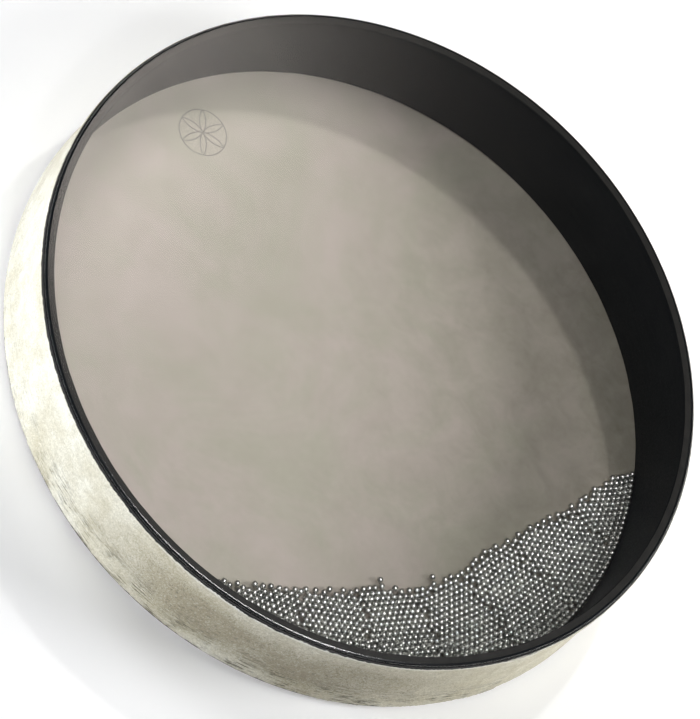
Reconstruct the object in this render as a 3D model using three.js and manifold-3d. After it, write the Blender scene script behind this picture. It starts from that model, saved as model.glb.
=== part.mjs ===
// Ocean drum: a shallow round frame drum that holds loose steel beads between a clear head and a
// parchment-coloured head. Tilting it lets the beads run across and around the lower head.
// Millimetres, +Z up. The drum lies flat on its parchment head, clear head up, and the origin is
// the centre of the face that it rests on.

import * as THREE from 'three';
import { mergeVertices } from 'three/addons/utils/BufferGeometryUtils.js';
import Module from 'manifold-3d';

const wasm = await Module();
wasm.setup();

// Overall size
const OUTER_RADIUS = 203.5;
const DEPTH = 63.5;
const SEGMENTS = 72;

// Thicknesses and the gap that every pair of bonded pieces keeps
const GAP = 0.3;
const WRAP_THICKNESS = 0.5;
const TAPE_THICKNESS = 0.3;
const FILM_THICKNESS = 0.4;
const GLUE_THICKNESS = 0.3;
const SHELL_WALL = 5.2;

// Edges, counted from the nearer drum face
const BEARING_EDGE_RADIUS = 2;
const INNER_EDGE_CHAMFER = 0.8;
const HEAD_DISC_INSET = 3;
const COLLAR_DEPTH = 12;
const TAPE_DEPTH = 10.5;
const TAPE_SETBACK = 2;
const WRAP_SETBACK = 3.4;
const GLUE_WIDTH = 2.8;

// The wrap's lap seam: where its ends pass over each other, in degrees about +Z
const SEAM_ANGLE = -21;
const LAP_ANGLE = 6;
const LAP_RAMP_ANGLE = 4;

// Beads: a crescent bed lies against the wall, thickest radially in its middle
const BEAD_RADIUS = 1.8;
const BED_ANGLE = -28;
const BED_HALF_ANGLE = 60;
const BED_CREST_RADIUS = 136;
const BED_CREST_POWER = 3.5;
const BED_WALL_GAP = 0.6;
const BED_STEPS = 76;
const CREST_WAVES = [
  { size: 2.3, count: 9, shift: 0.4 },
  { size: 1.2, count: 23, shift: 1.9 },
];
const SECOND_LAYER_CREST_RADIUS = 174;
const SECOND_LAYER_HALF_ANGLE = 46;
const LAYER_RISE = 2.9;

// Single beads: a row along the bed's crest, two that run across the head, one that rolls
// round the wall ahead of the bed
const CREST_BEADS = 30;
const CREST_BEAD_HALF_ANGLE = 52;
const CREST_BEAD_STANDOFF = 2.4;
const RUNNER_STANDOFF = 6.4;
const RUNNER_ANGLES = [-9, 6];
const WALL_BEAD_LEAD_ANGLE = 5;

// Radii, from the outside in
const wrapInner = OUTER_RADIUS - WRAP_THICKNESS;
const tapeOuter = wrapInner - GAP;
const tapeInner = tapeOuter - TAPE_THICKNESS;
const collarOuter = tapeInner - GAP;
const collarInner = collarOuter - FILM_THICKNESS;
const shellOuter = collarInner - GAP;
const shellInner = shellOuter - SHELL_WALL;
const headDiscRadius = collarOuter - HEAD_DISC_INSET;

// Heights of the parchment (back) side; the clear (front) side mirrors them
const glueBottom = FILM_THICKNESS + GAP;
const shellBottom = glueBottom + GLUE_THICKNESS + GAP;
const bedBottom = FILM_THICKNESS + GAP;

const colours = {
  shell: { color: 0x2a2725, roughness: 0.6, metalness: 0 },
  wrap: { color: 0xcfc8a8, roughness: 0.55, metalness: 0 },
  clearFilm: { color: 0xdfe4e6, roughness: 0.08, metalness: 0, transparent: true, opacity: 0.3 },
  parchment: { color: 0xb9ab98, roughness: 0.6, metalness: 0 },
  blackTape: { color: 0x121212, roughness: 0.45, metalness: 0 },
  glue: { color: 0x6e675f, roughness: 0.5, metalness: 0 },
  steel: { color: 0xaeb0ae, roughness: 0.25, metalness: 1 },
};

const drum = new THREE.Group();

function add(name, geometry, look) {
  const mesh = new THREE.Mesh(geometry, new THREE.MeshStandardMaterial(look));
  mesh.name = name;
  drum.add(mesh);
  return mesh;
}

function radians(degrees) {
  return THREE.MathUtils.degToRad(degrees);
}

// A ring turned about +Z from a closed outline of [radius, height] points
function ring(outline) {
  const profile = outline.map(([radius, height]) => new THREE.Vector2(radius, height));
  profile.push(profile[0].clone());
  const geometry = new THREE.LatheGeometry(profile, SEGMENTS);
  geometry.rotateX(Math.PI / 2);
  return geometry;
}

// The same outline on the other side of the drum
function mirrored(outline) {
  return outline.map(([radius, height]) => [radius, DEPTH - height]).reverse();
}

function disc(radius, bottom, thickness) {
  const geometry = new THREE.CylinderGeometry(radius, radius, thickness, SEGMENTS);
  geometry.rotateX(Math.PI / 2);
  geometry.translate(0, 0, bottom + thickness / 2);
  return geometry;
}

// A flat plan outline of [x, y] points raised to a thickness
function slab(outline, bottom, thickness) {
  const shape = new THREE.Shape(outline.map(([x, y]) => new THREE.Vector2(x, y)));
  const geometry = new THREE.ExtrudeGeometry(shape, { depth: thickness, bevelEnabled: false });
  geometry.translate(0, 0, bottom);
  return geometry;
}

function polar(radius, angle) {
  return [radius * Math.cos(radians(angle)), radius * Math.sin(radians(angle))];
}

function quarterArc(centreRadius, centreHeight, radius, startDegrees, steps) {
  const points = [];
  for (let i = 0; i <= steps; i += 1) {
    const angle = radians(startDegrees + (90 * i) / steps);
    points.push([centreRadius + radius * Math.cos(angle), centreHeight + radius * Math.sin(angle)]);
  }
  return points;
}

function toManifold(geometry) {
  const bare = geometry.clone();
  bare.deleteAttribute('normal');
  bare.deleteAttribute('uv');
  const merged = mergeVertices(bare, 1e-4);
  return new wasm.Manifold(new wasm.Mesh({
    numProp: 3,
    vertProperties: new Float32Array(merged.attributes.position.array),
    triVerts: new Uint32Array(merged.index.array),
  }));
}

function toGeometry(solid) {
  const mesh = solid.getMesh();
  const geometry = new THREE.BufferGeometry();
  geometry.setAttribute('position', new THREE.BufferAttribute(mesh.vertProperties, 3));
  geometry.setIndex(new THREE.BufferAttribute(mesh.triVerts, 1));
  geometry.computeVertexNormals();
  return geometry;
}

// Laminated wood-fibre hoop with a rounded outer bearing edge and an eased inner edge on each side
function shell() {
  const edgeCentre = shellOuter - BEARING_EDGE_RADIUS;
  const backEdge = [
    [shellInner, shellBottom + INNER_EDGE_CHAMFER],
    [shellInner + INNER_EDGE_CHAMFER, shellBottom],
    ...quarterArc(edgeCentre, shellBottom + BEARING_EDGE_RADIUS, BEARING_EDGE_RADIUS, -90, 3),
  ];
  add('shell', ring([...backEdge, ...mirrored(backEdge)]), colours.shell);
}

// Film folded over the bearing edge and down the outside of the shell
function collarOutline() {
  const outerBend = BEARING_EDGE_RADIUS + GAP + FILM_THICKNESS;
  const innerBend = BEARING_EDGE_RADIUS + GAP;
  const bendCentre = collarOuter - outerBend;
  const outside = quarterArc(bendCentre, outerBend, outerBend, -90, 3);
  const inside = quarterArc(bendCentre, outerBend, innerBend, -90, 3).reverse();
  return [
    [headDiscRadius + GAP, 0],
    ...outside,
    [collarOuter, COLLAR_DEPTH],
    [collarInner, COLLAR_DEPTH],
    ...inside,
    [headDiscRadius + GAP, FILM_THICKNESS],
  ];
}

function heads() {
  add('back_head', disc(headDiscRadius, 0, FILM_THICKNESS), colours.parchment);
  add('back_head_collar', ring(collarOutline()), colours.parchment);
  add('front_head', disc(headDiscRadius, DEPTH - FILM_THICKNESS, FILM_THICKNESS), colours.clearFilm);
  add('front_head_collar', ring(mirrored(collarOutline())), colours.clearFilm);
}

function band(inner, outer, from, to) {
  return [[inner, from], [outer, from], [outer, to], [inner, to]];
}

function bonding() {
  const glueInner = shellInner + INNER_EDGE_CHAMFER;
  const glue = band(glueInner, glueInner + GLUE_WIDTH, glueBottom, glueBottom + GLUE_THICKNESS);
  add('back_glue_ring', ring(glue), colours.glue);
  add('front_glue_ring', ring(mirrored(glue)), colours.glue);
  const tape = band(tapeInner, tapeOuter, TAPE_SETBACK, TAPE_DEPTH);
  add('back_edge_tape', ring(tape), colours.blackTape);
  add('front_edge_tape', ring(mirrored(tape)), colours.blackTape);
}

// One strip round the outside: its last stretch climbs by its own thickness and laps over its start
function wrap() {
  const full = 360 + LAP_ANGLE;
  const start = SEAM_ANGLE - LAP_ANGLE;
  const step = 360 / SEGMENTS;
  const climb = WRAP_THICKNESS + GAP;
  const angles = [];
  for (let turned = 0; turned < full; turned += step) {
    angles.push(turned);
  }
  angles.push(360 - LAP_RAMP_ANGLE, full);
  angles.sort((a, b) => a - b);
  const lift = (turned) => climb * THREE.MathUtils.clamp(1 + (turned - 360) / LAP_RAMP_ANGLE, 0, 1);
  const outside = angles.map((turned) => polar(OUTER_RADIUS + lift(turned), start + turned));
  const inside = angles.map((turned) => polar(wrapInner + lift(turned), start + turned)).reverse();
  const height = DEPTH - 2 * WRAP_SETBACK;
  add('shell_wrap', slab([...outside, ...inside], WRAP_SETBACK, height), colours.wrap);
}

// Radius of the bed's crest at an angle counted from the bed's middle
function crestRadius(offset) {
  const wall = shellInner - BED_WALL_GAP - 2 * BEAD_RADIUS;
  const share = Math.abs(offset) / BED_HALF_ANGLE;
  const smooth = BED_CREST_RADIUS + (wall - BED_CREST_RADIUS) * share ** BED_CREST_POWER;
  const calm = 1 - share ** 2;
  const ripple = CREST_WAVES.reduce(
    (sum, wave) => sum + wave.size * Math.sin(wave.count * radians(offset) + wave.shift),
    0,
  );
  return smooth + calm * ripple;
}

function bedOutline(halfAngle, crest) {
  const wall = shellInner - BED_WALL_GAP;
  const outline = [];
  for (let i = 0; i <= BED_STEPS; i += 1) {
    const offset = halfAngle * ((2 * i) / BED_STEPS - 1);
    outline.push(polar(wall, BED_ANGLE + offset));
  }
  for (let i = BED_STEPS; i >= 0; i -= 1) {
    const offset = halfAngle * ((2 * i) / BED_STEPS - 1);
    outline.push(polar(crest(offset), BED_ANGLE + offset));
  }
  return outline;
}

// The packed beads as one solid: a first layer, and a second one heaped against the wall
function beadBed() {
  const firstLayer = slab(bedOutline(BED_HALF_ANGLE, crestRadius), bedBottom, 2 * BEAD_RADIUS);
  const wall = shellInner - BED_WALL_GAP - BEAD_RADIUS;
  const secondCrest = (offset) => {
    const share = Math.abs(offset) / SECOND_LAYER_HALF_ANGLE;
    return SECOND_LAYER_CREST_RADIUS + (wall - SECOND_LAYER_CREST_RADIUS) * share ** 2;
  };
  const secondLayer = slab(
    bedOutline(SECOND_LAYER_HALF_ANGLE, secondCrest),
    bedBottom + BEAD_RADIUS,
    BEAD_RADIUS + LAYER_RISE,
  );
  add('bead_bed', toGeometry(toManifold(firstLayer).add(toManifold(secondLayer))), colours.steel);
}

function bead(name, radius, angle) {
  const geometry = new THREE.IcosahedronGeometry(BEAD_RADIUS, 1);
  const mesh = add(name, geometry, colours.steel);
  const [x, y] = polar(radius, angle);
  mesh.position.set(x, y, bedBottom + BEAD_RADIUS);
}

function singleBeads() {
  for (let i = 0; i < CREST_BEADS; i += 1) {
    const offset = CREST_BEAD_HALF_ANGLE * ((2 * i) / (CREST_BEADS - 1) - 1);
    const number = String(i + 1).padStart(2, '0');
    bead(`crest_bead_${number}`, crestRadius(offset) - CREST_BEAD_STANDOFF, BED_ANGLE + offset);
  }
  RUNNER_ANGLES.forEach((offset, i) => {
    bead(`running_bead_${i + 1}`, crestRadius(offset) - RUNNER_STANDOFF, BED_ANGLE + offset);
  });
  const wallRadius = shellInner - BED_WALL_GAP - BEAD_RADIUS;
  bead('wall_bead', wallRadius, BED_ANGLE - BED_HALF_ANGLE - WALL_BEAD_LEAD_ANGLE);
}

shell();
heads();
bonding();
wrap();
beadBed();
singleBeads();

export default drum;
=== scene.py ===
"""Ocean drum: looks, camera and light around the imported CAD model. Metres, in the CAD frame."""

import math

import bmesh
import bpy
import numpy as np
from mathutils import Matrix, Vector


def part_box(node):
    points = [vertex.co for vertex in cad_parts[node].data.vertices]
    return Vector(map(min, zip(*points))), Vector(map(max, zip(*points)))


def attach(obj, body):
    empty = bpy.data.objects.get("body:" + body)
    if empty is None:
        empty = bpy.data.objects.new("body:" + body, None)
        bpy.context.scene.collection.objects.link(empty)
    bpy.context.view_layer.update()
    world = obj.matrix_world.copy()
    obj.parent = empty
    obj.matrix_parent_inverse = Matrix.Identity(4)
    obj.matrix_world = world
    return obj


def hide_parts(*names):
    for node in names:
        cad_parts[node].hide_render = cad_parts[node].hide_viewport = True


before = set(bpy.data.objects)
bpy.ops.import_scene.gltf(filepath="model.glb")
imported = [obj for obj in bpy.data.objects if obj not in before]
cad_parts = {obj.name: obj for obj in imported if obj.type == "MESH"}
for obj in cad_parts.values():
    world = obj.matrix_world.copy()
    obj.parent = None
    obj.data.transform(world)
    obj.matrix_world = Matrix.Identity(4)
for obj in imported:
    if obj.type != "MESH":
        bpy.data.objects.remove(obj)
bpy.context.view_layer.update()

MM = 0.001
SEED = 7

# Camera: it looks down on the clear head and is rolled about its own axis
CAMERA_DISTANCE = 2.874
CAMERA_ELEVATION = 54.4
CAMERA_ROLL = 45.7
CAMERA_TARGET = (0.0001, 0.0180, 0.0)
LENS = 250.3

# Hoop, film and edge detail
HOOP_SEGMENTS = 360
RING_SEGMENTS = 720
BEND_STEPS = 8
SHELL_WALL = 5.2 * MM
SHELL_EDGE_RADIUS = 1.2 * MM
SHELL_INNER_EDGE = 0.4 * MM
FILM = 0.25 * MM
FILM_BEND = 1.7 * MM
FILM_RING_STEP = 19.0 * MM
FILM_MIRROR_IOR = 1.65
GLUE_WANDER = 0.07 * MM
TAPE = 0.3 * MM
TAPE_SETBACK = 2.0 * MM

# Wrap strip
WRAP = 0.35 * MM
WRAP_STEP = 0.8 * MM
WRAP_EDGE_ROUGHNESS = 0.5 * MM
WRAP_TUCK = 0.6 * MM
WRAP_ROWS = 18
SEAM_ANGLE = -21.0
LAP_ANGLE = 6.0
LAP_RAMP_ANGLE = 1.2
LAP_LIFT_GAP = 0.1 * MM
WRAP_INSET = 0.1 * MM
WRAP_WAVE = 0.06 * MM
TUCK_RAMP = 3.0 * MM

# Marks on the strip, in metres along it from the side opposite the seam, and up it
# The darker brown patch is partly a stain and partly painted shade where this side of the strip lies in
# shade
STAIN_AND_SHADE_PLACE = 0.48
STAIN_AND_SHADE_CORE = 0.03
STAIN_AND_SHADE_REACH = 0.13
CRACKS_FROM = 0.24
CRACKS_FULL = 0.34
PALE_EDGE_FROM = 0.36
PALE_EDGE_FULL = 0.46

# Printed rosette on the back head: its centre as radius and azimuth, its radius and its line
MARK_CENTRE = (164.0 * MM, 160.0)
MARK_RADIUS = 15.0 * MM
MARK_LINE = 0.6 * MM
MARK_TURN = 12.0

# Back head: painted shade darkens the film towards this azimuth, from one place along it to the other,
# in metres
PAINTED_SHADE_ANGLE = 35.0
PAINTED_SHADE_FROM = -0.02
PAINTED_SHADE_FULL = 0.19

# Studio lights: azimuth and elevation in degrees, distance and width in metres, power in watts
LIGHTS = {
    "key": (97.5, 52.0, 1.6, 0.08, 5.0),
    "left_low": (228.0, 4.0, 1.1, 0.25, 14.2),
    "right_soft": (30.0, 27.0, 1.8, 0.8, 30.5),
    "camera_side": (-60.0, 54.0, 2.0, 0.3, 4.5),
    "rim_line": (-33.0, 54.0, 2.0, 0.3, 13.5),
    "bead_gleam": (-33.0, 78.0, 2.0, 1.2, 36.0),
    "veil": (110.0, 54.0, 2.2, 0.5, 1.9),
    "wide_veil": (115.0, 54.0, 2.2, 0.95, 0.5),
    "left_near": (185.0, 55.0, 0.7, 0.3, 1.5),
}
COOL = (0.91, 0.96, 1.10)
WARM = (1.0, 0.92, 0.85)
LIGHT_COLOURS = {"left_low": COOL, "veil": WARM, "wide_veil": WARM}
MIRRORED_LIGHTS = ("rim_line", "bead_gleam", "veil", "wide_veil")
MIRRORED_ONLY = ("rim_line", "bead_gleam")
WORLD_STRENGTH = 0.12
FLOOR_GLOW = 0.12
FLOOR_HALF = 6.0
FLOOR_HEIGHT = -0.3 * MM
WORLD_HORIZON = (1.0, 1.0, 1.0, 1.0)
WORLD_ZENITH = (0.12, 0.13, 0.14, 1.0)
HORIZON_HEIGHT = 0.2
ZENITH_HEIGHT = 0.6

# Bead bed, about the drum's axis
BEAD_RADIUS = 1.8 * MM
BEAD_SHOWN_RADIUS = 1.785 * MM
BEAD_WALL_GAP = 0.1 * MM
BED_ANGLE = -28.0
BED_HALF_ANGLE = 60.0
BED_CREST_RADIUS = 136.0 * MM
BED_CREST_POWER = 3.5
BED_END_INSET = 4.2 * MM
CREST_WAVES = ((2.3 * MM, 9, 0.4), (1.2 * MM, 23, 1.9))
CREST_REACH = 3.8 * MM
LATTICE_PITCH = 3.63 * MM
GRAIN_ANGLE = 15.0
VACANCY = 0.004
SETTLE_STEPS = 160
SETTLE_PUSH = 0.012 * MM
HEAP_ANGLE = -50.0
HEAP_HALF_ANGLE = 46.0
HEAP_DEPTH = 32.0 * MM
BALLS_PER_PIECE = 560


def box_radius(node):
    """A round node's outer radius, from its box."""
    low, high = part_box(node)
    return (high[0] - low[0]) / 2


# Places taken from the frame
drum_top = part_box("front_head")[1][2]
shell_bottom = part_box("shell")[0][2]
shell_outer = box_radius("shell")
shell_inner = shell_outer - SHELL_WALL
film_outer = box_radius("front_head_collar")
collar_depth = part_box("back_head_collar")[1][2]
tape_outer = box_radius("back_edge_tape")
tape_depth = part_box("back_edge_tape")[1][2]
glue_bottom, glue_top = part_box("back_glue_ring")[0][2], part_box("back_glue_ring")[1][2]
wrap_outer = box_radius("shell_wrap")
wrap_low, wrap_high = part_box("shell_wrap")[0][2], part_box("shell_wrap")[1][2]
ball_height = (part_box("wall_bead")[0][2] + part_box("wall_bead")[1][2]) / 2


# Meshes


def make_piece(name, points, faces, material, body, nodes=(), sharp=35.0):
    """One mesh piece on its CAD body, standing for the CAD nodes it replaces."""
    mesh = bpy.data.meshes.new(name)
    mesh.from_pydata(np.asarray(points).tolist(), [], faces)
    mesh.validate()
    mesh.shade_smooth()
    mesh.set_sharp_from_angle(angle=math.radians(sharp))
    mesh.materials.append(material)
    piece = bpy.data.objects.new(name, mesh)
    bpy.context.scene.collection.objects.link(piece)
    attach(piece, body)
    if nodes:
        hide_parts(*nodes)
    return piece


def grid_faces(columns, rows, wrap_columns=True, wrap_rows=True):
    """Quads of a grid whose point (column, row) has index column * rows + row."""
    last_column = columns if wrap_columns else columns - 1
    last_row = rows if wrap_rows else rows - 1
    column, row = np.meshgrid(np.arange(last_column), np.arange(last_row), indexing="ij")
    next_column, next_row = (column + 1) % columns, (row + 1) % rows
    corners = (
        column * rows + row,
        next_column * rows + row,
        next_column * rows + next_row,
        column * rows + next_row,
    )
    return np.stack(corners, axis=-1).reshape(-1, 4)


def turn_outline(outline, segments=HOOP_SEGMENTS):
    """A closed outline of (radius, height) points, anticlockwise, turned about the drum's axis."""
    outline = np.asarray(outline)
    angle = np.linspace(0, 2 * math.pi, segments, endpoint=False)[:, None]
    radius, height = outline[None, :, 0], outline[None, :, 1]
    points = np.stack(
        [
            radius * np.cos(angle),
            radius * np.sin(angle),
            np.broadcast_to(height, (segments, len(outline))),
        ],
        axis=-1,
    )
    return points.reshape(-1, 3), grid_faces(segments, len(outline))


def arc(centre, radius, start, end, steps=BEND_STEPS):
    """Points on an arc, angles in degrees."""
    angle = np.radians(np.linspace(start, end, steps + 1))
    return [(centre[0] + radius * math.cos(a), centre[1] + radius * math.sin(a)) for a in angle]


def flipped(outline):
    """The same outline on the other side of the drum."""
    return [(radius, drum_top - height) for radius, height in reversed(outline)]


def smooth_noise(random, count, smoothing):
    """Closed random sequence of unit size whose features are about smoothing samples long."""
    values = random.standard_normal(count)
    spectrum = np.fft.rfft(values)
    spectrum *= np.exp(-((np.arange(len(spectrum)) * smoothing / count) ** 2))
    values = np.fft.irfft(spectrum, count)
    return values / values.std()


# Materials


class Graph:
    """A material's nodes: each call makes one and links or sets its inputs."""

    def __init__(self, name):
        self.material = bpy.data.materials.new(name)
        self.material.use_nodes = True
        self.tree = self.material.node_tree
        self.shader = self.tree.nodes["Principled BSDF"]
        self.output = self.tree.nodes["Material Output"]
        self.place = self.add("ShaderNodeTexCoord").outputs["Object"]

    def set(self, socket, value):
        if isinstance(value, bpy.types.NodeSocket):
            self.tree.links.new(value, socket)
        else:
            socket.default_value = value

    def add(self, kind, inputs=None, **settings):
        node = self.tree.nodes.new(kind)
        for key, value in settings.items():
            setattr(node, key, value)
        for key, value in (inputs or {}).items():
            self.set(node.inputs[key], value)
        return node

    def noise(self, scale, detail=3.0, roughness=0.55, distortion=0.0, vector=None):
        inputs = {
            "Vector": vector or self.place,
            "Scale": scale,
            "Detail": detail,
            "Roughness": roughness,
            "Distortion": distortion,
        }
        return self.add("ShaderNodeTexNoise", inputs).outputs["Fac"]

    def range(self, value, low, high, to_low=0.0, to_high=1.0):
        inputs = {
            "Value": value,
            "From Min": low,
            "From Max": high,
            "To Min": to_low,
            "To Max": to_high,
        }
        return self.add("ShaderNodeMapRange", inputs).outputs["Result"]

    def math(self, operation, first, second=0.0):
        node = self.add("ShaderNodeMath", {0: first, 1: second}, operation=operation)
        return node.outputs[0]

    def mix(self, share, first, second):
        node = self.add("ShaderNodeMix", {0: share, 6: first, 7: second}, data_type="RGBA")
        return node.outputs[2]

    def bump(self, height, strength, distance):
        inputs = {"Height": height, "Strength": strength, "Distance": distance}
        node = self.add("ShaderNodeBump", inputs)
        self.set(self.shader.inputs["Normal"], node.outputs["Normal"])

    def finish(self, **values):
        for name, value in values.items():
            self.set(self.shader.inputs[name.replace("_", " ")], value)
        return self.material


def rgb(red, green, blue):
    return (red, green, blue, 1.0)


def strip_place(g):
    """Place on the wrap strip: distance along it from the side opposite the seam, and height."""
    turn = math.radians(180 - SEAM_ANGLE)
    turned = g.add("ShaderNodeVectorRotate", {"Vector": g.place, "Angle": turn}, rotation_type="Z_AXIS")
    parts = g.add("ShaderNodeSeparateXYZ", {0: turned.outputs[0]}).outputs
    along = g.math("MULTIPLY", g.math("ARCTAN2", parts["Y"], parts["X"]), wrap_outer)
    return along, parts["Z"]


def wrap_material():
    """Parchment-look film: fibres, flecks, cloudy patches, a darker patch that is partly a stain and
    partly painted shade, cracks and a pale raw edge.
    """
    g = Graph("parchment_wrap")
    along, height = strip_place(g)
    lines = g.add("ShaderNodeCombineXYZ", {0: along, 1: g.math("MULTIPLY", height, 11.0)}).outputs[0]
    cloud = g.range(g.noise(15.0, 4.0, 0.6, 0.6), 0.36, 0.64)
    patch = g.range(g.noise(75.0, 4.0, 0.65, 0.8), 0.40, 0.62)
    fibre = g.range(g.noise(460.0, 3.0, 0.7, 2.6), 0.455, 0.555)
    fleck = g.range(g.noise(760.0, 2.0, 0.6, 1.0), 0.55, 0.62)
    speck = g.range(g.noise(620.0, 2.0, 0.6, 1.0), 0.58, 0.66)
    ridge = g.math("ABSOLUTE", g.math("SUBTRACT", g.noise(42.0, 3.0, 0.6, 0.4, lines), 0.5))
    crack = g.range(ridge, 0.010, 0.050, 1.0, 0.0)
    crack = g.math("MULTIPLY", crack, g.range(height, 0.012, 0.028, 1.0, 0.12))
    crack = g.math("MULTIPLY", crack, g.range(g.noise(60.0, 2.0), 0.40, 0.54))
    crack = g.math("MULTIPLY", crack, g.range(along, CRACKS_FROM, CRACKS_FULL, 0.25, 1.0))
    edge = g.range(height, wrap_high - 1.8 * MM, wrap_high - 0.5 * MM)
    to_seam = g.math("ABSOLUTE", along)
    edge = g.math("MULTIPLY", edge, g.range(to_seam, PALE_EDGE_FROM, PALE_EDGE_FULL, 0.15, 0.62))
    colour = g.mix(cloud, rgb(0.75, 0.73, 0.61), rgb(0.56, 0.52, 0.38))
    colour = g.mix(g.math("MULTIPLY", patch, 0.42), colour, rgb(0.45, 0.40, 0.26))
    # Darker brown patch: partly a stain, partly painted shade where this side of the strip lies in shade
    from_stain_and_shade = g.math("ABSOLUTE", g.math("SUBTRACT", along, STAIN_AND_SHADE_PLACE))
    stain_and_shade = g.range(from_stain_and_shade, STAIN_AND_SHADE_CORE, STAIN_AND_SHADE_REACH, 1.0, 0.0)
    off_middle = g.math("ABSOLUTE", g.math("SUBTRACT", height, drum_top / 2))
    stain_and_shade = g.math("MULTIPLY", stain_and_shade, g.range(off_middle, 0.010, 0.024, 1.0, 0.15))
    stain_and_shade = g.math("MULTIPLY", stain_and_shade, g.range(cloud, 0.0, 1.0, 0.45, 1.0))
    colour = g.mix(stain_and_shade, colour, rgb(0.26, 0.22, 0.14))
    fibre_share = g.math("MULTIPLY", fibre, g.range(stain_and_shade, 0.0, 0.6, 0.32, 0.75))
    colour = g.mix(fibre_share, colour, rgb(0.27, 0.24, 0.15))
    colour = g.mix(g.math("MULTIPLY", fleck, 0.22), colour, rgb(0.90, 0.88, 0.77))
    speck_share = g.math("MULTIPLY", speck, g.range(stain_and_shade, 0.0, 0.6, 0.20, 0.75))
    colour = g.mix(speck_share, colour, rgb(0.13, 0.115, 0.07))
    colour = g.mix(crack, colour, rgb(0.09, 0.08, 0.045))
    colour = g.mix(edge, colour, rgb(0.93, 0.92, 0.86))
    relief = g.math("ADD", g.math("SUBTRACT", fleck, fibre), g.math("MULTIPLY", crack, -2.0))
    g.bump(relief, 0.35, 0.2 * MM)
    return g.finish(Base_Color=colour, Roughness=g.range(fibre, 0.0, 1.0, 0.40, 0.58))


def parchment_head_material():
    """Cloudy satin film with painted shade that darkens it towards one side, and a small generic rosette
    printed on it.
    """
    g = Graph("parchment_head")
    cloud = g.range(g.noise(12.0, 5.0, 0.66, 1.0), 0.38, 0.62)
    mottle = g.range(g.noise(42.0, 4.0, 0.6, 0.5), 0.36, 0.66)
    haze = g.noise(210.0, 3.0, 0.6)
    # Painted shade: the film's colour darkens towards one side, standing in for the shadow of the wall
    # there
    towards = {0: g.place, 1: polar(1, PAINTED_SHADE_ANGLE)}
    across = g.add("ShaderNodeVectorMath", towards, operation="DOT_PRODUCT")
    painted_shade = g.range(across.outputs["Value"], PAINTED_SHADE_FROM, PAINTED_SHADE_FULL)
    painted_shade = g.math("MULTIPLY", painted_shade, g.range(mottle, 0.0, 1.0, 0.6, 1.0))
    colour = g.mix(cloud, rgb(0.62, 0.545, 0.50), rgb(0.53, 0.505, 0.42))
    colour = g.mix(g.math("MULTIPLY", mottle, 0.26), colour, rgb(0.46, 0.41, 0.345))
    # The painted shade is mixed into the colour here
    colour = g.mix(g.math("MULTIPLY", painted_shade, 0.85), colour, rgb(0.25, 0.235, 0.175))
    colour = g.mix(g.range(haze, 0.3, 0.7, 0.0, 0.10), colour, rgb(0.70, 0.66, 0.60))
    ink = g.math("MULTIPLY", rosette(g), g.range(mottle, 0.0, 1.0, 0.62, 0.40))
    colour = g.mix(ink, colour, rgb(0.13, 0.12, 0.115))
    g.bump(haze, 0.05, 0.1 * MM)
    return g.finish(Base_Color=colour, Roughness=g.range(mottle, 0.0, 1.0, 0.40, 0.50))


def polar(radius, degrees):
    """The point at a radius and azimuth in the drum's plane."""
    turn = math.radians(degrees)
    return Vector((radius * math.cos(turn), radius * math.sin(turn), 0))


def rosette(g):
    """Ink of a compass-drawn rosette: a ring and the parts of six like circles inside it."""
    centre = polar(*MARK_CENTRE)
    flat = g.add("ShaderNodeVectorMath", {0: g.place, 1: (1, 1, 0)}, operation="MULTIPLY").outputs[0]

    def distance(point):
        return g.add("ShaderNodeVectorMath", {0: flat, 1: point}, operation="DISTANCE").outputs["Value"]

    def circle(point):
        off = g.math("ABSOLUTE", g.math("SUBTRACT", distance(point), MARK_RADIUS))
        return g.range(off, MARK_LINE / 2, MARK_LINE * 0.8, 1.0, 0.0)

    petals = 0.0
    for k in range(6):
        petals = g.math("MAXIMUM", petals, circle(centre + polar(MARK_RADIUS, 60 * k + MARK_TURN)))
    inside = g.math("LESS_THAN", distance(centre), MARK_RADIUS)
    return g.math("MAXIMUM", g.math("MULTIPLY", petals, inside), circle(centre))


def clear_film_material():
    """Clear polyester: it lets the inside show and mirrors its surroundings a little blurred."""
    g = Graph("clear_film")
    see_through = g.add("ShaderNodeBsdfTransparent", {"Color": rgb(0.985, 0.985, 0.98)})
    scuff = g.noise(35.0, 4.0, 0.6, 0.6)
    gloss_inputs = {"Color": rgb(1, 1, 1), "Roughness": g.range(scuff, 0.3, 0.7, 0.17, 0.21)}
    gloss = g.add("ShaderNodeBsdfGlossy", gloss_inputs)
    fresnel = g.add("ShaderNodeFresnel", {"IOR": FILM_MIRROR_IOR}).outputs[0]
    inside = g.add("ShaderNodeNewGeometry").outputs["Backfacing"]
    share = g.math("MULTIPLY", fresnel, g.math("SUBTRACT", 1.0, inside))
    both = g.add("ShaderNodeMixShader", {0: share, 1: see_through.outputs[0], 2: gloss.outputs[0]})
    g.set(g.output.inputs["Surface"], both.outputs[0])
    g.tree.nodes.remove(g.shader)
    return g.material


def shell_material():
    """Black-stained laminated fibre, faintly streaked round the hoop."""
    g = Graph("shell_fibre")
    stretch = g.add("ShaderNodeMapping", {"Vector": g.place, "Scale": (1.0, 1.0, 9.0)}).outputs[0]
    streak = g.noise(60.0, 4.0, 0.6, 0.3, stretch)
    grain = g.noise(900.0, 2.0, 0.6)
    colour = g.mix(g.range(streak, 0.35, 0.65), rgb(0.002, 0.0035, 0.0055), rgb(0.005, 0.0065, 0.008))
    g.bump(g.math("ADD", streak, g.math("MULTIPLY", grain, 0.4)), 0.2, 0.15 * MM)
    return g.finish(
        Base_Color=colour, Roughness=g.range(grain, 0.3, 0.7, 0.50, 0.66), Specular_IOR_Level=0.1
    )


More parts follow.
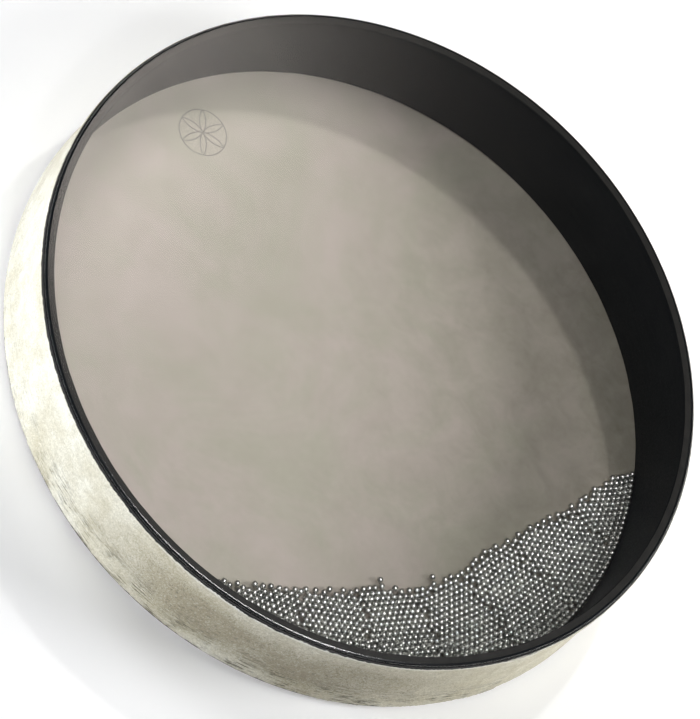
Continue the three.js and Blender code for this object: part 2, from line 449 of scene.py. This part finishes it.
def tape_material():
    """Black edge tape, nearly matt, with a fine crepe."""
    g = Graph("black_tape")
    crepe = g.noise(700.0, 3.0, 0.6)
    colour = g.mix(crepe, rgb(0.006, 0.006, 0.007), rgb(0.020, 0.019, 0.019))
    g.bump(crepe, 0.3, 0.15 * MM)
    return g.finish(Base_Color=colour, Roughness=g.range(crepe, 0.3, 0.7, 0.38, 0.55))


def glue_material():
    """Cured adhesive, smoky over the dark edge."""
    g = Graph("glue")
    blot = g.noise(160.0, 3.0, 0.6)
    colour = g.mix(g.range(blot, 0.35, 0.65), rgb(0.017, 0.0165, 0.016), rgb(0.023, 0.022, 0.0205))
    g.bump(blot, 0.05, 0.1 * MM)
    return g.finish(
        Base_Color=colour, Roughness=g.range(blot, 0.3, 0.7, 0.46, 0.54), Specular_IOR_Level=0.22
    )


def steel_material():
    """Bright steel balls that differ a little in tone and polish."""
    g = Graph("bead_steel")
    tone = g.noise(170.0, 2.0, 0.5)
    colour = g.mix(g.range(tone, 0.35, 0.65), rgb(0.54, 0.545, 0.53), rgb(0.64, 0.64, 0.62))
    rough = g.range(tone, 0.3, 0.7, 0.30, 0.33)
    return g.finish(Base_Color=colour, Metallic=1.0, Roughness=rough)


def floor_material():
    """Pale matt floor that glows faintly, so it stays white."""
    g = Graph("floor")
    tone = g.mix(g.noise(3.0, 2.0), rgb(0.95, 0.95, 0.95), rgb(0.97, 0.97, 0.965))
    return g.finish(Base_Color=tone, Roughness=0.9, Emission_Color=tone, Emission_Strength=FLOOR_GLOW)


# Drum


def make_shell(material):
    """Hoop with a rounded outer bearing edge and an eased inner edge on both sides."""
    edge = (shell_outer - SHELL_EDGE_RADIUS, shell_bottom + SHELL_EDGE_RADIUS)
    eased = (shell_inner + SHELL_INNER_EDGE, shell_bottom + SHELL_INNER_EDGE)
    back = arc(eased, SHELL_INNER_EDGE, 180, 270, 4) + arc(edge, SHELL_EDGE_RADIUS, 270, 360)
    points, faces = turn_outline(back + flipped(back))
    make_piece("shell_hoop", points, faces, material, "drum", ["shell"])


def film_outline():
    """Half section of a head: flat film, rounded over the shell's edge and down its outside."""
    rings = [FILM_RING_STEP * k for k in range(1, 11)]
    bend = (film_outer - FILM_BEND, FILM_BEND)
    under = [(radius, 0.0) for radius in rings] + arc(bend, FILM_BEND, 270, 360)
    under += [(film_outer, collar_depth * 0.6), (film_outer, collar_depth)]
    inner = film_outer - FILM
    over = [(inner, collar_depth), (inner, collar_depth * 0.6)]
    over += arc(bend, FILM_BEND - FILM, 360, 270) + [(radius, FILM) for radius in reversed(rings)]
    return under + over


def make_head(name, outline, material, nodes):
    """A film turned from its section, with its middle closed by two fans."""
    points, faces = turn_outline(outline)
    rows = len(outline)
    open_middle = faces[faces[:, 0] % rows != rows - 1]
    low_middle, high_middle = len(points), len(points) + 1
    points = np.vstack([points, [0, 0, outline[0][1]], [0, 0, outline[-1][1]]])
    column = np.arange(HOOP_SEGMENTS)
    following = (column + 1) % HOOP_SEGMENTS
    low_fan = np.stack([following * rows, column * rows, np.full_like(column, low_middle)], 1)
    high_fan = np.stack([column * rows, following * rows, np.full_like(column, high_middle)], 1)
    high_fan[:, :2] += rows - 1
    all_faces = open_middle.tolist() + low_fan.tolist() + high_fan.tolist()
    make_piece(name, points, all_faces, material, "drum", nodes)


def make_rings(tape, glue):
    """Glue between shell and film, and black tape over each folded film, on both sides."""
    random = np.random.default_rng(SEED)
    inner = tape_outer - TAPE
    tape_section = [(inner, TAPE_SETBACK), (tape_outer, TAPE_SETBACK)]
    tape_section += [(tape_outer, tape_depth), (inner, tape_depth)]
    glue_inner = shell_inner + SHELL_INNER_EDGE
    glue_outer = shell_outer - SHELL_EDGE_RADIUS
    glue_section = [(glue_inner, glue_bottom), (glue_outer, glue_bottom)]
    glue_section += [(glue_outer, glue_top), (glue_inner, glue_top)]
    for side, turn in (("back", list), ("front", flipped)):
        points, faces = turn_outline(turn(tape_section), RING_SEGMENTS)
        make_piece(f"{side}_black_tape", points, faces, tape, "drum", [f"{side}_edge_tape"])
        points, faces = turn_outline(turn(glue_section), RING_SEGMENTS)
        radius = np.linalg.norm(points[:, :2], axis=1, keepdims=True)
        wander = GLUE_WANDER * smooth_noise(random, RING_SEGMENTS, 10)
        shift = np.repeat(wander, 4)[:, None] * (radius < (glue_inner + glue_outer) / 2)
        points[:, :2] *= 1 + shift / radius
        make_piece(f"{side}_glue", points, faces, glue, "drum", [f"{side}_glue_ring"])


def raw_edge(random, columns):
    """Ragged offsets of a torn edge: fine teeth on a slower wander."""
    ragged = 0.6 * smooth_noise(random, columns, 2) + 0.2 * smooth_noise(random, columns, 14)
    return WRAP_EDGE_ROUGHNESS * np.clip(ragged, -2, 2)


def make_wrap(material):
    """One strip round the shell with raw, rough edges, tucked in over the middle, lapped at a seam."""
    random = np.random.default_rng(SEED + 1)
    start = math.radians(SEAM_ANGLE - LAP_ANGLE)
    sweep = 2 * math.pi + math.radians(LAP_ANGLE)
    columns = int(wrap_outer * sweep / WRAP_STEP)
    turned = np.linspace(0, sweep, columns)
    ramp = math.radians(LAP_RAMP_ANGLE)
    lift = np.clip((turned - 2 * math.pi + ramp) / ramp, 0, 1)
    lift = lift * lift * (3 - 2 * lift) * (WRAP + LAP_LIFT_GAP)
    low = wrap_low + raw_edge(random, columns)
    high = wrap_high + raw_edge(random, columns)
    share = (1 - np.cos(np.linspace(0, math.pi, WRAP_ROWS))) / 2
    height = low[:, None] + (high - low)[:, None] * share[None]
    from_edge = np.minimum(height, drum_top - height)
    tuck = WRAP_TUCK * np.clip((from_edge - collar_depth) / TUCK_RAMP, 0, 1)
    wave = WRAP_WAVE * smooth_noise(random, columns, 60)[:, None]
    outside = wrap_outer - WRAP_INSET - tuck + wave + lift[:, None]
    radius = np.concatenate([outside, (outside - WRAP)[:, ::-1]], axis=1)
    height = np.concatenate([height, height[:, ::-1]], axis=1)
    angle = (start + turned)[:, None]
    points = np.stack([radius * np.cos(angle), radius * np.sin(angle), height], axis=-1).reshape(-1, 3)
    rows = 2 * WRAP_ROWS
    faces = grid_faces(columns, rows, wrap_columns=False).tolist()
    for row in range(WRAP_ROWS - 1):
        opposite = rows - 1 - row
        faces.append([row, row + 1, opposite - 1, opposite])
        base = (columns - 1) * rows
        faces.append([base + opposite, base + opposite - 1, base + row + 1, base + row])
    make_piece("parchment_wrap", points, faces, material, "drum", ["shell_wrap"])


# Beads


def crest_radius(offset):
    """Radius of the bed's edge nearest the drum's axis, offset in degrees from the bed's middle."""
    share = np.abs(offset) / BED_HALF_ANGLE
    end = shell_inner - BED_END_INSET
    smooth = BED_CREST_RADIUS + (end - BED_CREST_RADIUS) * share**BED_CREST_POWER
    ripple = sum(size * np.sin(count * np.radians(offset) + shift) for size, count, shift in CREST_WAVES)
    return smooth + (1 - share**2) * ripple


def bed_offset(points):
    angle = np.degrees(np.arctan2(points[:, 1], points[:, 0])) - BED_ANGLE
    return (angle + 180) % 360 - 180


def centre_of(node):
    low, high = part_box(node)
    return [(low[0] + high[0]) / 2, (low[1] + high[1]) / 2]


def near_pairs(points, reach):
    gap = points[:, None] - points[None]
    close = (gap**2).sum(2) < reach**2
    return np.nonzero(np.triu(close, 1))


def grain(random, middle):
    """Close-packed sites of one grain, whose rows run along the wall at the angle middle."""
    limit = shell_inner - BEAD_RADIUS - BEAD_WALL_GAP
    rows = int((limit - BED_CREST_RADIUS) / LATTICE_PITCH * 1.3) + 4
    columns = int(limit * math.radians(GRAIN_ANGLE) / LATTICE_PITCH) + 4
    row, column = np.meshgrid(np.arange(rows), np.arange(-columns, columns), indexing="ij")
    inward = limit - row * LATTICE_PITCH * math.sqrt(3) / 2
    along = (column + 0.5 * (row % 2) + random.uniform(0, 1)) * LATTICE_PITCH
    turn = math.radians(middle)
    x = inward * math.cos(turn) - along * math.sin(turn)
    y = inward * math.sin(turn) + along * math.cos(turn)
    sites = np.stack([x.ravel(), y.ravel()], 1)
    offset = bed_offset(sites) - (middle - BED_ANGLE)
    return sites[np.abs(offset) < GRAIN_ANGLE / 2]


def lattice(random):
    """Sites of every grain of the bed, thinned where two grains meet and ragged at the crest."""
    grains = int(2 * BED_HALF_ANGLE / GRAIN_ANGLE)
    first = BED_ANGLE - BED_HALF_ANGLE + GRAIN_ANGLE / 2
    sites = np.vstack([grain(random, first + k * GRAIN_ANGLE) for k in range(grains)])
    offset = bed_offset(sites)
    radius = np.linalg.norm(sites, axis=1)
    edge = crest_radius(np.clip(offset, -BED_HALF_ANGLE, BED_HALF_ANGLE)) - CREST_REACH
    ragged = random.uniform(0, 1, len(sites)) ** 2 * CREST_REACH
    sites = sites[(radius > edge + ragged) & (random.random(len(sites)) > VACANCY)]
    return thinned(sites, 0.86 * LATTICE_PITCH)


def thinned(points, spacing, held=()):
    """The points left when none is nearer than spacing to a held point or an earlier one."""
    kept = list(held)
    for point in points:
        if not kept or np.min(np.sum((np.array(kept) - point) ** 2, axis=1)) > spacing**2:
            kept.append(point)
    return np.array(kept[len(held) :])


def settle(points, held, push):
    """Presses the loose beads gently outwards and parts any that overlap; held ones don't move."""
    spacing = 2 * BEAD_RADIUS
    limit = shell_inner - BEAD_RADIUS - BEAD_WALL_GAP
    every = np.vstack([held, points])
    loose = (np.arange(len(every)) >= len(held)).astype(float)[:, None]
    for step in range(SETTLE_STEPS):
        if step % 10 == 0:
            first, second = near_pairs(every, 1.4 * spacing)
            share = np.maximum(loose[first] + loose[second], 1)
        if step < SETTLE_STEPS / 2:
            every += loose * push * every / np.linalg.norm(every, axis=1, keepdims=True)
        for _ in range(3):
            gap = every[first] - every[second]
            length = np.linalg.norm(gap, axis=1, keepdims=True)
            part = gap / length * np.clip(spacing - length, 0, None) / share
            np.add.at(every, first, part * loose[first])
            np.add.at(every, second, -part * loose[second])
        radius = np.linalg.norm(every, axis=1, keepdims=True)
        every = np.where(loose > 0, every * np.minimum(1, limit / radius), every)
    return every[len(held) :]


def hollows_between(layer):
    """Middles of all threes of beads in the layer that touch each other."""
    first, second = near_pairs(layer, 2.3 * BEAD_RADIUS)
    neighbours = [set() for _ in layer]
    for a, b in zip(first, second):
        neighbours[a].add(int(b))
        neighbours[b].add(int(a))
    threes = [
        (a, b, c) for a, b in zip(first, second) for c in neighbours[a] & neighbours[b] if c > b
    ]
    return layer[np.array(threes)].mean(axis=1)


def heap(random, layer):
    """Balls at rest in the hollows of the first layer, in a loose heap against the wall."""
    hollows = hollows_between(layer)
    radius = np.linalg.norm(hollows, axis=1)
    turn = bed_offset(hollows) - (HEAP_ANGLE - BED_ANGLE)
    depth = HEAP_DEPTH * np.clip(1 - (turn / HEAP_HALF_ANGLE) ** 2, 0, 1)
    limit = shell_inner - BEAD_RADIUS - BEAD_WALL_GAP
    inward = (limit - radius) / np.maximum(depth, MM)
    wanted = (radius < limit) & (random.random(len(hollows)) > 0.12 + 0.88 * inward**2)
    hollows, radius = hollows[wanted], radius[wanted]
    order = np.argsort(random.uniform(0, 6 * MM, len(radius)) - radius)
    placed = thinned(hollows[order], 1.97 * BEAD_RADIUS)
    rise = 2 * BEAD_RADIUS * math.sqrt(2 / 3)
    return np.column_stack([placed, np.full(len(placed), ball_height + rise)])


def ball_template():
    """Points and faces of a round ball about the origin."""
    ball = bpy.data.meshes.new("ball")
    shape = bmesh.new()
    bmesh.ops.create_icosphere(shape, subdivisions=3, radius=BEAD_SHOWN_RADIUS)
    shape.to_mesh(ball)
    shape.free()
    points = np.array([v.co for v in ball.vertices])
    faces = np.array([p.vertices for p in ball.polygons])
    bpy.data.meshes.remove(ball)
    return points, faces


def make_balls(name, centres, template, material, body, nodes=()):
    """Many round balls in one piece."""
    points, faces = template
    centres = np.asarray(centres)
    every_point = (centres[:, None] + points[None]).reshape(-1, 3)
    starts = (np.arange(len(centres)) * len(points))[:, None, None]
    every_face = (starts + faces[None]).reshape(-1, 3)
    make_piece(name, every_point, every_face, material, body, nodes, sharp=180.0)


def make_beads(material):
    """The bed, its heap, the crest beads at their CAD places, and the beads that move alone."""
    random = np.random.default_rng(SEED + 2)
    template = ball_template()
    crest_nodes = sorted(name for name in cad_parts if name.startswith("crest_bead"))
    lone_nodes = ["running_bead_1", "running_bead_2", "wall_bead"]
    held = np.array([centre_of(name) for name in crest_nodes + lone_nodes])
    pressed = settle(lattice(random), np.empty((0, 2)), SETTLE_PUSH)
    first_layer = settle(thinned(pressed, 1.7 * BEAD_RADIUS, held), held, 0.0)
    first_layer = first_layer[np.argsort(bed_offset(first_layer))]
    level = np.full((len(first_layer), 1), ball_height)
    pieces = math.ceil(len(first_layer) / BALLS_PER_PIECE)
    for index, part in enumerate(np.array_split(np.hstack([first_layer, level]), pieces)):
        stands_for = ["bead_bed"] if index == 0 else []
        make_balls(f"bed_balls_{index + 1}", part, template, material, "bead_bed", stands_for)
    make_balls("heaped_balls", heap(random, first_layer), template, material, "bead_bed")
    crest = [[*centre_of(name), ball_height] for name in crest_nodes]
    make_balls("crest_balls", crest, template, material, "bead_bed", crest_nodes)
    for name in lone_nodes:
        centre = [*centre_of(name), ball_height]
        make_balls(f"{name}_ball", [centre], template, material, name, [name])


# Studio


def aim(thing, place, target, roll=0.0):
    """Puts a camera or light at place, looking at target."""
    place, target = Vector(place), Vector(target)
    turn = (target - place).to_track_quat("-Z", "Y")
    spin = Matrix.Rotation(math.radians(roll), 4, "Z")
    thing.matrix_world = Matrix.Translation(place) @ turn.to_matrix().to_4x4() @ spin


def around(azimuth, elevation, distance):
    """A point at an azimuth about +Z from +X and an elevation, in degrees."""
    flat = distance * math.cos(math.radians(elevation))
    return (
        flat * math.cos(math.radians(azimuth)),
        flat * math.sin(math.radians(azimuth)),
        distance * math.sin(math.radians(elevation)),
    )


def make_camera():
    data = bpy.data.cameras.new("camera")
    data.lens = LENS
    data.sensor_width = 36.0
    camera = bpy.data.objects.new("camera", data)
    bpy.context.scene.collection.objects.link(camera)
    aim(camera, around(-90, CAMERA_ELEVATION, CAMERA_DISTANCE), CAMERA_TARGET, CAMERA_ROLL)
    bpy.context.scene.camera = camera


def make_light(name, azimuth, elevation, distance, width, power):
    data = bpy.data.lights.new(name, "AREA")
    data.shape = "DISK"
    data.size = width
    data.energy = power
    data.color = LIGHT_COLOURS.get(name, (1.0, 1.0, 1.0))
    light = bpy.data.objects.new(name, data)
    bpy.context.scene.collection.objects.link(light)
    light.visible_camera = False
    light.visible_glossy = name in MIRRORED_LIGHTS
    light.visible_diffuse = name not in MIRRORED_ONLY
    aim(light, around(azimuth, elevation, distance), (0, 0, 0.03))


def make_world():
    """Soft surroundings, white at the horizon and dim overhead."""
    world = bpy.data.worlds.new("studio")
    world.use_nodes = True
    tree = world.node_tree
    place = tree.nodes.new("ShaderNodeTexCoord").outputs["Generated"]
    height = tree.nodes.new("ShaderNodeSeparateXYZ")
    ramp = tree.nodes.new("ShaderNodeValToRGB")
    ramp.color_ramp.interpolation = "EASE"
    ramp.color_ramp.elements[0].position = HORIZON_HEIGHT
    ramp.color_ramp.elements[0].color = WORLD_HORIZON
    ramp.color_ramp.elements[1].position = ZENITH_HEIGHT
    ramp.color_ramp.elements[1].color = WORLD_ZENITH
    tree.links.new(place, height.inputs[0])
    tree.links.new(height.outputs["Z"], ramp.inputs[0])
    tree.links.new(ramp.outputs["Color"], tree.nodes["Background"].inputs["Color"])
    tree.nodes["Background"].inputs["Strength"].default_value = WORLD_STRENGTH
    bpy.context.scene.world = world


def make_floor():
    """A wide plain floor just under the drum."""
    mesh = bpy.data.meshes.new("floor")
    signs = ((-1, -1), (1, -1), (1, 1), (-1, 1))
    corners = [(x * FLOOR_HALF, y * FLOOR_HALF, FLOOR_HEIGHT) for x, y in signs]
    mesh.from_pydata(corners, [], [(0, 1, 2, 3)])
    mesh.materials.append(floor_material())
    floor = bpy.data.objects.new("floor", mesh)
    bpy.context.scene.collection.objects.link(floor)


def make_studio():
    """View transform, surroundings, floor and lights."""
    bpy.context.scene.view_settings.view_transform = "Standard"
    make_world()
    make_floor()
    for name, settings in LIGHTS.items():
        make_light(name, *settings)


make_camera()
make_studio()
make_shell(shell_material())
clear = clear_film_material()
parchment = parchment_head_material()
make_head("parchment_head", film_outline(), parchment, ["back_head", "back_head_collar"])
make_head("clear_head", flipped(film_outline()), clear, ["front_head", "front_head_collar"])
make_rings(tape_material(), glue_material())
make_wrap(wrap_material())
make_beads(steel_material())
